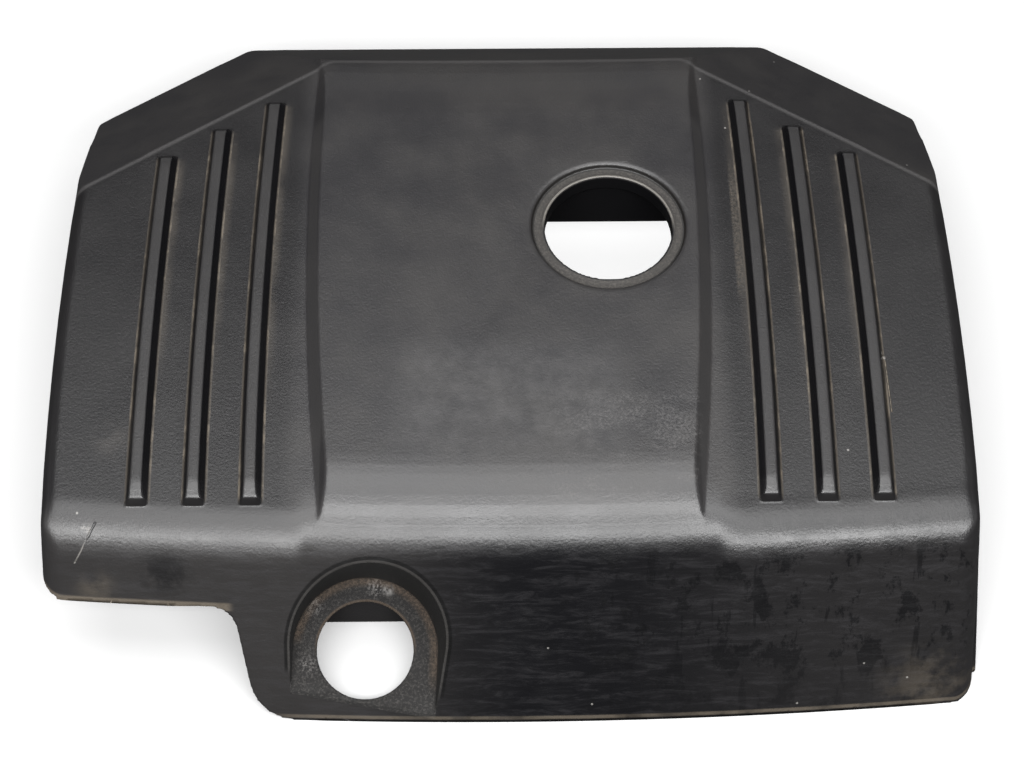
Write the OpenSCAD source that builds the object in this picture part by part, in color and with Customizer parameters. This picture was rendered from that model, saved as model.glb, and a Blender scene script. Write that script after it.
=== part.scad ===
// Engine cover: one moulded shell with a raised centre panel, six raised strips,
// a filler opening, a stepped front skirt with a pocket, and four rubber grommets
// that push over ball studs. X to the right, Y to the rear, Z up, base at Z = 0.

/* [Shell] */
// Width across the side walls at the base
body_w = 472; // [450:1:500]
// Depth from the front edge to the rear wall at the base
body_d = 393; // [380:1:410]
// Height of the two side panels
panel_z = 86; // [80:1:92]
// Thickness of the moulded wall
wall = 3; // [2:0.1:3.5]
// Radius of the bow of each side wall, seen from above
side_bow_r = 2100; // [1600:10:2600]
// Place of the widest point of the side walls, from the middle
side_bow_y = 5; // [-20:1:30]
// Lean of the side walls from upright, in degrees
side_draft = 7; // [3:0.5:8]
// Radius of the long edges over the side walls
side_edge_r = 9; // [5:0.5:12]

/* [Front skirt] */
// Radius of the bow of the front edge, seen from above
front_bow_r = 2750; // [2200:10:4000]
// Lean of the front skirt from upright, in degrees
skirt_lean = 32; // [26:0.5:36]
// Radius of the bend from a side panel into the skirt
bend_r = 30; // [20:1:36]
// Radius of the two front corners
corner_r = 14; // [8:1:18]

/* [Rear band] */
// Height of the sloping band's lower edge
band_z = 50; // [42:1:56]
// Depth of the band along the rear wall
rear_band_d = 41.5; // [34:0.5:46]
// Depth of the band along the two cut-off corners
corner_band_d = 63.7; // [54:0.1:68]
// Distance from the middle of the part to the lower edge at a cut-off corner
corner_out = 242.6; // [236:0.2:248]
// Angle of the cut-off corners from the rear wall
corner_angle = 34; // [30:0.5:38]
// Lean of the rear walls from upright, in degrees
rear_draft = 3; // [1:0.5:5]
// Radius of the band's lower edge
band_edge_r = 6; // [4:0.5:10]

/* [Centre panel] */
// Height of the centre panel over the side panels
raise = 8; // [5:0.5:10]
// Half of the centre panel's width at its widest point
centre_half_w = 100; // [94:1:106]
// Radius of the bowed edges of the centre panel
centre_bow_r = 1540; // [1300:10:2000]
// Place of the centre panel's widest point, from the middle
centre_bow_y = 68; // [50:1:80]
// Width of the sloping step beside the centre panel
step_w = 6; // [4:0.5:8]
// Radius of the bend from the centre panel into the skirt
centre_bend_r = 64; // [50:1:70]
// Distance over which the centre panel falls to the rear band
fall_d = 42; // [34:1:50]

/* [Raised strips] */
// Strips on each side
strip_count = 3; // [1:1:4]
// Distance from the middle to the innermost strip
strip_first_x = 122.6; // [118:0.2:126]
// Distance between neighbouring strips
strip_pitch = 26.8; // [22:0.2:28]
// Width of a strip at its foot
strip_w = 10.4; // [8:0.2:14]
// Width of a strip's flat top
strip_top_w = 5.4; // [3:0.2:7]
// Distance that a strip's top sits outwards of its foot's middle
strip_shift = 0.4; // [0:0.1:1]
// Height of a strip
strip_h = 4.5; // [3:0.1:6]
// Place of the strips' near ends, from the middle
strip_near_y = -123.5; // [-126:0.5:-110]
// Length of the rounded nose at a strip's near end
nose_l = 10; // [6:0.5:14]
// Length of the ramp at a strip's far end
ramp_l = 7; // [4:0.5:12]
// Distance from a strip's far end to the band
strip_gap = 10; // [8:0.5:16]
// Width of the core under a strip at its foot
core_w = 4.8; // [3:0.2:5.4]
// Width of the core under a strip at its top
core_top_w = 2; // [1:0.2:2.6]
// Distance that a core keeps from the ends of its strip
core_inset = 8; // [6:0.5:12]

/* [Filler opening] */
// Place of the opening across the part
filler_x = 51; // [40:1:56]
// Place of the opening along the part
filler_y = 34.5; // [20:0.5:50]
// Diameter of the hole
filler_d = 65; // [55:0.5:68]
// Diameter of the sunk seat around the hole
seat_d = 78; // [74:0.2:82]
// Depth of the seat
seat_depth = 3; // [2.5:0.5:5]
// Radius of the edge that rolls into the seat
seat_edge_r = 2.2; // [1:0.1:3]
// Height of the bead at the edge of the hole
bead_h = 1; // [0.5:0.1:1.5]
// Width of the bead's flat top
bead_w = 1.2; // [0.6:0.1:2]
// Length of the collar under the hole
collar_l = 9; // [6:0.5:14]
// Thickness of the collar
collar_t = 2.2; // [1.8:0.1:3]

/* [Front pocket] */
// Place of the pocket across the part
pocket_x = -71; // [-76:0.5:-66]
// Distance from the part's front edge back to the hole's centre
pocket_back = 29.5; // [27:0.5:32]
// Height of the hole's centre
pocket_z = 19.6; // [18:0.2:22]
// Tilt of the pocket floor from level, in degrees
pocket_tilt = 25; // [20:0.5:30]
// Turn of the pocket floor to the right, in degrees
pocket_roll = 6; // [0:0.5:8]
// Diameter of the hole in the pocket floor
pocket_hole_d = 47; // [40:0.5:50]
// Radius of the pocket's round end at the floor
pocket_r = 35; // [32:0.5:36]
// Draft of the pocket's walls, in degrees
pocket_draft = 7; // [4:0.5:9]

/* [Front notch] */
// Height of the short front edge
notch_z = 52.5; // [46:0.5:56]
// Place of the notch's upright edge, where the pocket's side of the skirt starts
notch_x = -132.5; // [-136:0.5:-126]
// Place where the side wall steps down again, from the middle
notch_y = -62; // [-80:1:-50]
// Slope of the notch's upright edge, in degrees
notch_lean = 9.5; // [4:0.5:12]
// Radius inside the notch
notch_in_r = 12; // [8:0.5:16]
// Radius at the foot of the notch
notch_out_r = 20; // [12:0.5:24]

/* [Grommets] */
// Distance from the side walls' widest point in to the grommets
stud_inset = 78; // [70:1:86]
// Place of the front grommets, from the middle
stud_front_y = -92; // [-98:1:-84]
// Place of the rear grommets, from the middle
stud_rear_y = 70; // [60:1:76]
// Diameter of the ball stud that a grommet takes
ball_d = 10; // [8:0.5:12]
// Height of the grommets' lower faces
grommet_z = 53; // [48:0.5:58]
// Diameter of a grommet's flange
flange_d = 25; // [22:0.5:27]
// Thickness of a grommet's flange
flange_h = 3; // [2:0.5:4]
// Diameter of a grommet's body
grommet_d = 21.4; // [18:0.2:22]
// Height of a grommet's body over the socket's floor
grommet_h = 11; // [9:0.5:14]
// Diameter of a grommet's waist
waist_d = 17.6; // [15:0.2:18.4]
// Space between a grommet and its socket, all round
grommet_gap = 0.2; // [0.1:0.05:0.4]
// Thickness of a socket's wall
socket_wall = 2.8; // [2:0.1:3.5]
// Thickness of the plate across the foot of a socket
socket_plate = 3; // [2:0.5:4]
// Thickness of plastic over a socket
socket_roof = 4; // [3.5:0.5:6]
// Narrowing of a grommet's body towards its top, on the diameter
grommet_taper = 1.6; // [0.5:0.1:3]
// Thickness of rubber over the closed end of the bore
grommet_cap = 2; // [1.5:0.1:3]
// Widening of the bore at its mouth, on the radius
lead_in = 3; // [1:0.5:4]
// Depth of the widened mouth
lead_in_h = 2.5; // [1.5:0.5:4]

/* [Underside ribs] */
// Thickness of the ribs
rib_t = 2; // [1.5:0.1:3]
// Depth of the ribs under the panels
rib_h = 9; // [5:0.5:12]
// Distance of the two lengthwise ribs from the middle
rib_x = 108; // [104:1:112]
// Place of the middle cross rib
rib_y = -34; // [-44:1:-24]
// Height of the lower edge of the screen behind the filler opening
screen_z = 51.4; // [48:0.2:64]
// Width of the screen behind the filler opening
screen_w = 68; // [40:1:72]
// Height of the lower edge of the screen behind the pocket's hole
pocket_screen_z = 2.8; // [1:0.2:14]
// Width of the screen behind the pocket's hole
pocket_screen_w = 46; // [36:1:48]
// Length by which the ribs run on past the sockets
rib_run = 20; // [10:1:28]
// Reach of a socket's gusset blades from the socket
gusset_reach = 12; // [8:0.5:16]
// Height of a gusset blade's foot over the socket's plate
gusset_lift = 8; // [5:0.5:12]

/* [Hidden] */
$fn = 96;
plastic = "#3a393b";
rubber = "#1c1c1c";
bow_fn = 256;
over = 1;
sky = 130;
// How far the side edges fall below the panel, and the width and rise of the ease beside them.
side_fall = 0.5;
ease_w = 16;
ease_h = 1.4;
// The front corners' rounding: how far it bites in, its turn, and the size of its block.
corner_bite = 0.3;
corner_turn = 2;
corner_block = 40;
// The centre panel ends short of the band's crease, with its foot buried in the shell.
crease_gap = 1.5;
panel_root = 29;
panel_bite = 4;
centre_sink = 0.5;
// Draft of the collar and of the seat's wall, as widths.
collar_draft = 0.3;
seat_foot = 0.4;
// Distance from the openings' far rims to the screens behind them.
screen_gap = 1.4;
pocket_screen_gap = 2.2;
// Depth that the pocket's and the strips' cutters run to.
pocket_reach = 70;
pocket_rise = 90;
front_y = -body_d / 2;
rear_y = body_d / 2;
side_x = body_w / 2;
stud_x = side_x - stud_inset;
rear_edge_y = rear_y - band_z * tan(rear_draft);
band_drop = panel_z - band_z;
crease_y = rear_edge_y - rear_band_d;
crease_out = corner_out - corner_band_d;
centre_z = panel_z + raise;
socket_d = flange_d + 2 * socket_wall - 1;
seat_z = centre_z - seat_depth;
socket_floor = grommet_z + flange_h;

function unit(v) = v / norm(v);
function cross2(a, b) = a[0] * b[1] - a[1] * b[0];

// Point where the line a + s * u meets the line b + t * v.
function meet(a, u, b, v) = a + u * cross2(b - a, v) / cross2(u, v);

// Outline moved inwards by t at the edges that walls marks with 1.
// The points run anticlockwise, and edge i goes from point i to the next.
function inset(pts, walls, t) =
    let (n = len(pts))
    [for (i = [0 : n - 1])
        let (h = (i + n - 1) % n, j = (i + 1) % n,
             u = unit(pts[i] - pts[h]), v = unit(pts[j] - pts[i]))
        meet(pts[h] + t * walls[h] * [-u[1], u[0]], u,
             pts[i] + t * walls[i] * [-v[1], v[0]], v)];

// Points of the arc that rounds the corner b between a and c.
function corner_arc(a, b, c, r, steps) =
    let (u = unit(a - b), v = unit(c - b), half = acos(u * v) / 2,
         centre = b + unit(u + v) * r / sin(half),
         p = b + u * r / tan(half) - centre, q = b + v * r / tan(half) - centre,
         from = atan2(p[1], p[0]), turn = atan2(cross2(p, q), p * q))
    [for (i = [0 : steps]) centre + r * [cos(from + turn * i / steps), sin(from + turn * i / steps)]];

function rounded(pts, radii, steps = 8) =
    let (n = len(pts))
    [for (i = [0 : n - 1])
        for (p = radii[i] > 0
                ? corner_arc(pts[(i + n - 1) % n], pts[i], pts[(i + 1) % n], radii[i], steps)
                : [pts[i]]) p];

// Moulded outline: outer with t = 0, and inner with t = wall, where it runs past the base.
function moulded(pts, walls, radii, t, steps = 8) =
    rounded(inset(pts, walls, t), [for (r = radii) r > 0 ? max(r - t, 0.5) : 0], steps);

// Turned about an upright axis r away, so that the outline's X is the distance from it.
module bowed(r, turn, half_angle) {
    rotate([0, 0, turn]) translate([-r, 0, 0])
        rotate([0, 0, -half_angle]) rotate_extrude(angle = 2 * half_angle, $fn = bow_fn) children();
}

// Top panels' height and the front skirt, bowed.
module panel_and_skirt(t) {
    foot = t > 0 ? over : 0;
    slope = tan(skirt_lean);
    far = front_bow_r - body_d - 60;
    pts = [[far, -foot], [front_bow_r + foot * slope, -foot],
           [front_bow_r - panel_z * slope, panel_z], [far, panel_z]];
    translate([0, front_y, 0]) bowed(front_bow_r, -90, 8)
        polygon(moulded(pts, [0, 1, 1, 0], [0, 0, bend_r, 0], t, 12));
}

module side_limit(t, side) {
    slope = tan(side_draft);
    low = panel_z - side_fall;
    ease_x = side_bow_r - low * slope - ease_w;
    far = side_bow_r - body_w - 40;
    pts = [[far, -2 * over], [side_bow_r + 2 * over * slope, -2 * over],
           [side_bow_r - low * slope, low], [ease_x, low + ease_h], [ease_x, sky], [far, sky]];
    translate([side * side_x, side_bow_y, 0]) bowed(side_bow_r, side > 0 ? 0 : 180, 14)
        polygon(moulded(pts, [0, 1, 1, 0, 0, 0], [0, 0, side_edge_r, 0, 0, 0], t));
}

// Upright wall and sloping band, seen along a wall: out is its distance from the middle.
module band_outline(out, band_d, t) {
    lift = sky - band_z;
    pts = [[-300, -2 * over], [out + (band_z + 2 * over) * tan(rear_draft), -2 * over],
           [out, band_z], [out - lift * band_d / band_drop, sky], [-300, sky]];
    polygon(moulded(pts, [0, 1, 1, 0, 0], [0, 0, band_edge_r, 0, 0], t, 5));
}

module rear_limit(t) {
    rotate([90, 0, 90]) linear_extrude(height = body_w + 40, center = true)
        band_outline(rear_edge_y, rear_band_d, t);
}

module corner_limit(t, side) {
    rotate([0, 0, -side * corner_angle]) rotate([90, 0, 90])
        linear_extrude(height = 900, center = true)
            band_outline(corner_out, corner_band_d, t);
}

// Rounds the leaning edge between the skirt and a side wall.
module front_corner_waste(t, side) {
    seat = corner_r - corner_bite;
    foot_x = side_x - pow(front_y - side_bow_y, 2) / (2 * side_bow_r) - seat;
    foot_y = front_y + pow(foot_x, 2) / (2 * front_bow_r);
    translate([side * foot_x, foot_y, 0]) rotate([-skirt_lean, 0, 0]) rotate([0, -side * corner_turn, 0])
        translate([0, seat, 0]) difference() {
            translate([side > 0 ? 0 : -corner_block, -corner_block, -corner_block])
                cube([corner_block, corner_block, corner_block + sky]);
            translate([0, 0, -corner_block - over])
                cylinder(r = corner_r - t, h = corner_block + sky + 2 * over);
        }
}

// Centre panel: bowed edges with a sloping step, falling to the band at the rear.
module centre_panel(t) {
    fall_r = (pow(fall_d, 2) + pow(raise, 2)) / (2 * raise);
    bend_z = centre_z - centre_bend_r;
    start = skirt_lean + panel_bite;
    bend_x = front_bow_r - (centre_bend_r + centre_sink + bend_z * sin(skirt_lean)) / cos(skirt_lean);
    fall_x = front_bow_r - (crease_y - crease_gap - fall_d - front_y);
    r = centre_bend_r - t;
    falls = fall_r - t;
    back = asin(fall_d / fall_r) + 2;
    low = panel_z - panel_root;
    pts = concat([for (i = [0 : 12]) let (a = start + (90 - start) * i / 12)
                     [bend_x + r * cos(a), bend_z + r * sin(a)]],
                 [for (i = [0 : 6]) let (a = back * i / 6)
                     [fall_x - falls * sin(a), centre_z - fall_r + falls * cos(a)]],
                 [[fall_x - falls * sin(back) - 1, low], [bend_x + r * cos(start) - 2, low]]);
    slope = step_w / raise;
    shift = t * sqrt(1 + slope * slope);
    intersection() {
        centre_edge(1, shift, slope, low - 1);
        centre_edge(-1, shift, slope, low - 1);
        translate([0, front_y, 0]) bowed(front_bow_r, -90, 8) polygon(pts);
    }
}

// Everything on the inner side of one bowed, sloping edge of the centre panel.
module centre_edge(side, shift, slope, low) {
    mid_z = panel_z + raise / 2;
    r = centre_bow_r - shift;
    far = centre_bow_r - 2 * centre_half_w - 30;
    translate([side * centre_half_w, centre_bow_y, 0]) bowed(centre_bow_r, side > 0 ? 0 : 180, 12)
        polygon([[far, low], [r + (mid_z - low) * slope, low], [r - (sky - mid_z) * slope, sky], [far, sky]]);
}

module hull_form(t) {
    centre_panel(t);
    difference() {
        intersection() {
            side_limit(t, 1);
            side_limit(t, -1);
            rear_limit(t);
            corner_limit(t, 1);
            corner_limit(t, -1);
            panel_and_skirt(t);
        }
        front_corner_waste(t, 1);
        front_corner_waste(t, -1);
    }
}

// Six strips: the outline along Y gives the nose and the ramp, the one across X the drafted sides.
module strip(x, far_y, foot_w, top_w, top_z, foot_z, shrink) {
    near = strip_near_y + shrink;
    far = far_y - shrink;
    h = top_z - panel_z;
    lean = sign(x) * strip_shift * h / strip_h;
    nose = [for (a = [0 : 18 : 90]) [near + nose_l * (1 - cos(a)), panel_z + h * sin(a)]];
    ramp = [for (a = [90 : -30 : 0]) [far - ramp_l * (1 - cos(a)), panel_z + h * sin(a)]];
    translate([x, 0, 0]) intersection() {
        rotate([90, 0, 90]) linear_extrude(height = foot_w + 2, center = true)
            polygon(concat([[near, foot_z]], nose, ramp, [[far, foot_z]]));
        translate([0, 0, panel_z]) rotate([90, 0, 0])
            linear_extrude(height = 2 * body_d, center = true)
                polygon([[-foot_w / 2, foot_z - panel_z], [foot_w / 2, foot_z - panel_z],
                         [foot_w / 2, 0], [lean + top_w / 2, h + 0.01], [lean - top_w / 2, h + 0.01],
                         [-foot_w / 2, 0]]);
    }
}

function strip_x(i) = strip_first_x + i * strip_pitch;

// A strip ends this far from the middle, short of the band's crease.
function strip_far_y(x) =
    (crease_out - x * sin(corner_angle)) / cos(corner_angle) - strip_gap;

module strips() {
    for (side = [-1, 1], i = [0 : strip_count - 1])
        strip(side * strip_x(i), strip_far_y(strip_x(i)), strip_w, strip_top_w,
              panel_z + strip_h, panel_z - wall / 2, 0);
}

// Cores under the strips, which keep the wall even.
module strip_cores() {
    for (side = [-1, 1], i = [0 : strip_count - 1])
        strip(side * strip_x(i), strip_far_y(strip_x(i)), core_w, core_top_w,
              panel_z + strip_h - wall, panel_z - wall - over, core_inset);
}

module at_filler() {
    translate([filler_x, filler_y, 0]) children();
}

// Wall, seat floor and collar around the filler opening, turned about its axis.
module filler_seat() {
    hole_r = filler_d / 2;
    outer_r = seat_d / 2 + seat_edge_r + over;
    at_filler() rotate_extrude() polygon([
        [0, centre_z + over], [0, seat_z - collar_l], [hole_r + collar_t, seat_z - collar_l],
        [hole_r + collar_t + collar_draft, seat_z - wall], [outer_r, seat_z - wall],
        [outer_r, centre_z + over]]);
}

// Space over the seat: the rolled edge, the seat, the bead around the hole, and the hole.
module filler_cut() {
    hole_r = filler_d / 2;
    seat_r = seat_d / 2;
    e = seat_edge_r;
    roll = [for (a = [0 : 15 : 90]) [seat_r + e - e * cos(a), centre_z - e + e * sin(a)]];
    at_filler() {
        translate([0, 0, seat_z - collar_l - over]) cylinder(d = filler_d, h = sky - seat_z);
        rotate_extrude() polygon(concat(
            [[0, seat_z + bead_h], [hole_r + bead_w, seat_z + bead_h],
             [hole_r + bead_w + bead_h, seat_z], [seat_r - seat_foot, seat_z]], roll,
            [[seat_r + e, sky], [0, sky]]));
    }
}

// Frame of the pocket: its floor is level there, at Z = 0, with the hole at the origin.
module at_pocket() {
    translate([pocket_x, front_y + pocket_back, pocket_z]) rotate([pocket_tilt, pocket_roll, 0]) children();
}

// Round end and straight sides that widen with the draft, from the floor up by h.
module pocket_form(r, floor, h) {
    spread = tan(pocket_draft);
    side = r - 0.1;
    at_pocket() translate([0, 0, floor]) {
        cylinder(r1 = r, r2 = r + h * spread, h = h);
        rotate([90, 0, 0]) linear_extrude(height = pocket_reach)
            polygon([[-side, 0], [side, 0], [side + h * spread, h], [-side - h * spread, h]]);
    }
}

// Cuts away the short front edge: the front outline along Y and the side outline along X.
module notch() {
    foot_x = notch_x + notch_z * tan(notch_lean);
    clear = notch_out_r + 6;
    front = rounded([[-body_w, -over], [foot_x + clear, -over], [foot_x + clear, 0], [foot_x, 0],
                     [notch_x, notch_z], [-body_w, notch_z]],
                    [0, 0, 0, notch_out_r, notch_in_r, 0], 6);
    side = rounded([[-body_d, -over], [notch_y + clear, -over], [notch_y + clear, 0], [notch_y, 0],
                    [notch_y - 6, notch_z + over], [-body_d, notch_z + over]],
                   [0, 0, 0, notch_out_r, 0, 0], 6);
    intersection() {
        translate([0, body_d, 0]) rotate([90, 0, 0]) linear_extrude(height = 2 * body_d) polygon(front);
        rotate([90, 0, 90]) translate([0, 0, -body_w]) linear_extrude(height = 2 * body_w) polygon(side);
    }
}

function studs() = [[-stud_x, stud_front_y], [stud_x, stud_front_y],
                    [-stud_x, stud_rear_y], [stud_x, stud_rear_y]];

// Tube that hangs from a panel, with a plate that the grommet's waist passes through.
module socket(at) {
    translate([at[0], at[1], socket_floor]) difference() {
        cylinder(d = socket_d, h = centre_z - socket_floor);
        translate([0, 0, -over]) cylinder(d = waist_d + 2 * grommet_gap, h = socket_plate + 2 * over);
        translate([0, 0, socket_plate])
            cylinder(d = socket_d - 2 * socket_wall, h = panel_z - socket_roof - socket_floor - socket_plate);
    }
}

// Gusset blades that brace a socket against the panel.
module gussets(at) {
    root = socket_d / 2 - over;
    reach = socket_d / 2 + gusset_reach;
    top = panel_z - wall / 2;
    for (turn = [45 : 90 : 315]) translate([at[0], at[1], 0]) rotate([0, 0, turn])
        rotate([90, 0, 0]) linear_extrude(height = rib_t, center = true)
            polygon([[root, socket_floor + gusset_lift], [reach, top - rib_h], [reach, top], [root, top]]);
}

// Lengthwise and cross ribs under the panels.
module rib_grid() {
    z = panel_z - wall - rib_h;
    top = centre_z;
    for (side = [-1, 1]) translate([side * rib_x - rib_t / 2, stud_front_y - rib_run, z])
        cube([rib_t, crease_y - stud_front_y + rib_run, top - z]);
    for (y = [stud_front_y, rib_y, stud_rear_y + rib_run]) translate([-side_x, y - rib_t / 2, z])
        cube([body_w, rib_t, top - z]);
}

// Upright plates that close the view past the far rims of the two openings.
module screens() {
    translate([filler_x - screen_w / 2, filler_y + filler_d / 2 + screen_gap, screen_z])
        cube([screen_w, rib_t, seat_z - wall / 2 - screen_z]);
    rim_y = front_y + pocket_back + pocket_hole_d / 2 * cos(pocket_tilt) + pocket_screen_gap;
    translate([pocket_x - pocket_screen_w / 2, rim_y, pocket_screen_z])
        cube([pocket_screen_w, rib_t, 2 * pocket_z - pocket_screen_z]);
}

module cover_shell() {
    color(plastic) difference() {
        union() {
            hull_form(0);
            strips();
        }
        difference() {
            union() {
                hull_form(wall);
                strip_cores();
            }
            pocket_form(pocket_r + wall, -wall, pocket_rise);
            filler_seat();
            for (at = studs()) {
                socket(at);
                gussets(at);
            }
            rib_grid();
            screens();
        }
        pocket_form(pocket_r, 0, pocket_rise);
        at_pocket() translate([0, 0, -wall - over]) cylinder(d = pocket_hole_d, h = pocket_r);
        filler_cut();
        notch();
    }
}

// Rubber bush: a flange under the socket's plate, a waist through it and a body above,
// with a plain bore and a wider seat for the ball.
module grommet(at) {
    plate_top = socket_floor + socket_plate;
    top = plate_top + grommet_h;
    r = ball_d / 2;
    color(rubber) translate([at[0], at[1], 0]) difference() {
        union() {
            translate([0, 0, grommet_z]) cylinder(d = flange_d, h = flange_h);
            translate([0, 0, socket_floor]) cylinder(d = waist_d, h = socket_plate);
            translate([0, 0, plate_top])
                cylinder(d1 = grommet_d, d2 = grommet_d - grommet_taper, h = grommet_h);
        }
        translate([0, 0, grommet_z - over])
            cylinder(r1 = r + lead_in + lead_in / lead_in_h, r2 = r, h = over + lead_in_h);
        translate([0, 0, grommet_z]) cylinder(r = r, h = top - grommet_z - grommet_cap);
    }
}

module grommet_front_left() { grommet(studs()[0]); }
module grommet_front_right() { grommet(studs()[1]); }
module grommet_rear_left() { grommet(studs()[2]); }
module grommet_rear_right() { grommet(studs()[3]); }

cover_shell();
grommet_front_left();
grommet_front_right();
grommet_rear_left();
grommet_rear_right();
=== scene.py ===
import math
from types import SimpleNamespace

import bpy
import numpy as np
from mathutils import Matrix, Vector


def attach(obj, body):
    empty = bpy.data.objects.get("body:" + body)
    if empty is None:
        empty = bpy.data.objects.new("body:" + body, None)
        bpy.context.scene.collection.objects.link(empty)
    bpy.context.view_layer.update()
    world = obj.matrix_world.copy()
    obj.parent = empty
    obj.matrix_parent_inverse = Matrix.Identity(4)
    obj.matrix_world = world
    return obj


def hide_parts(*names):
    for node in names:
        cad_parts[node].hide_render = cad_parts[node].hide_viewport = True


bl_info = {
    "name": "Engine cover",
    "version": (1, 0, 0),
    "blender": (4, 5, 0),
    "location": "View3D > Sidebar > Cover",
    "description": "Dresses a moulded engine cover and sets it on a studio table",
    "category": "Object",
}

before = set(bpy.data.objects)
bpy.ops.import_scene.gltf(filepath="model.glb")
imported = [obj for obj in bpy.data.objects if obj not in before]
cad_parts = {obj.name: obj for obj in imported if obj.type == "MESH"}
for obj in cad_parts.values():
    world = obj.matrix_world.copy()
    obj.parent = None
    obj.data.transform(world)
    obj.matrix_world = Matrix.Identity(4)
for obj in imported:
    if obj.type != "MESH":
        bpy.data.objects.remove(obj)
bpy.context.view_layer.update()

# Places on the cover, in metres: X to the right, Y to the rear, Z up.
FRONT_Y = -0.1965
FRONT_BOW_R = 2.75
SKIRT_LEAN = math.radians(32)
PANEL_Z = 0.086
CENTRE_Z = 0.094
STRIP_FIRST_X = 0.1226
STRIP_PITCH = 0.0268
STRIP_FOOT = 0.0052
STRIP_TOP = 0.0027
STRIP_SHIFT = 0.0004
STRIP_NEAR_Y = -0.1235
STRIP_BOW = 0.0025
STRIP_BOW_Y = 0.005
STRIP_BOW_R = 3.125
STRIP_FAR_Y = 0.1231
STRIP_FAR_STEP = 0.0181
PANEL_HALF_W = 0.100
BAND_CREASE_Y = 0.1524
CORNER_CREASE = 0.1789
CORNER_ANGLE = math.radians(34)
NOTCH_Z = 0.0525
PANEL_BOW_Y = 0.068
PANEL_BOW_R = 1.54
REAR_CORNERS = ((0.1464, 0.1939), (0.2340, 0.1330))
# Level of each lower edge of the front skirt, and where it starts and ends in X.
SKIRT_RIMS = ((0.0, -0.112, 0.226), (NOTCH_Z, -0.230, -0.142))
RIM_REACH = 0.0013
RIM_FADE = 0.020
WEIGHT_LEVELS = 24
STEP_SHARE = 0.35
FILLER = (0.051, 0.0345, 0.091)
POCKET = (-0.071, -0.167, 0.0196)
POCKET_X_AXIS = (0.99452, 0.0, -0.10453)
POCKET_Y_AXIS = (0.04418, 0.90631, 0.42030)
POCKET_Z_AXIS = (0.09474, -0.42262, 0.90134)


# Name, place, width, depth and power setting of each softbox.
SOFTBOXES = (
    ("key_softbox", (0.0, -1.0, 1.35), 2.4, 0.5, "key_power"),
    ("top_softbox", (0.0, 0.10, 1.8), 2.2, 1.15, "top_power"),
    ("rim_softbox", (0.0, 1.7, 0.80), 2.6, 0.25, "rim_power"),
    ("side_softbox", (-1.5, -0.1, 0.55), 1.4, 0.7, "side_power"),
    ("side_softbox", (1.5, -0.1, 0.55), 1.4, 0.7, "side_power"),
)
# Height over the horizon, turn and roll of the camera, in degrees.
CAMERA_ANGLES = (57.0, 0.58207, 0.07328)
CAMERA_PLACE = (-0.004591, -0.618388, 0.951277)


class CoverShape(bpy.types.PropertyGroup):
    """How soft the moulding's edges are"""

    voxel: bpy.props.FloatProperty(
        name="Mesh size", description="Edge length of the shell's fine mesh", default=0.0009, unit="LENGTH"
    )
    soft_passes: bpy.props.IntProperty(
        name="Edge softness", description="Smoothing passes over every edge of the moulding", default=2
    )
    blend_passes: bpy.props.IntProperty(
        name="Round edges", description="Smoothing passes over the edges that the mould rounds most", default=24
    )
    triangles: bpy.props.IntProperty(
        name="Triangles", description="Triangles that the finished shell keeps", default=190000
    )


class CoverFinish(bpy.types.PropertyGroup):
    """Colours of the plastic, the rubber and the dirt"""

    plastic: bpy.props.FloatVectorProperty(
        name="Plastic", description="Moulded plastic", subtype="COLOR", default=(0.014, 0.0135, 0.0145)
    )
    plastic_dusty: bpy.props.FloatVectorProperty(
        name="Dusty plastic", description="Plastic under thin dust", subtype="COLOR",
        default=(0.021, 0.0198, 0.0195),
    )
    # Partly painted shade: the skirt is painted darker than oily plastic alone, for the little light on its
    # front face.
    plastic_skirt: bpy.props.FloatVectorProperty(
        name="Skirt", description="Wiped, oily plastic of the front skirt", subtype="COLOR",
        default=(0.0032, 0.0032, 0.0039),
    )
    dust: bpy.props.FloatVectorProperty(
        name="Dust", description="Tan dust in corners", subtype="COLOR", default=(0.110, 0.091, 0.068)
    )
    grime: bpy.props.FloatVectorProperty(
        name="Grime", description="Grey-brown dirt on the seats", subtype="COLOR",
        default=(0.0085, 0.0078, 0.0070),
    )
    rubber: bpy.props.FloatVectorProperty(
        name="Rubber", description="Rubber of the grommets", subtype="COLOR", default=(0.012, 0.012, 0.012)
    )
    grain: bpy.props.FloatProperty(
        name="Grain", description="Height of the moulded grain", default=0.00020, unit="LENGTH"
    )


class CoverStage(bpy.types.PropertyGroup):
    """Light and table"""

    key_power: bpy.props.FloatProperty(
        name="Key light", description="Power of the softbox over the camera", default=68.0, subtype="POWER"
    )
    top_power: bpy.props.FloatProperty(
        name="Top light", description="Power of the softbox overhead", default=45.0, subtype="POWER"
    )
    rim_power: bpy.props.FloatProperty(
        name="Rim light", description="Power of the softbox behind the cover", default=3.0, subtype="POWER"
    )
    side_power: bpy.props.FloatProperty(
        name="Side lights", description="Power of the softboxes left and right", default=2.0, subtype="POWER"
    )
    world: bpy.props.FloatProperty(
        name="Room", description="Brightness of the room around", default=0.0
    )
    lens: bpy.props.FloatProperty(
        name="Lens", description="Focal length of the camera in millimetres", default=74.35
    )


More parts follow.
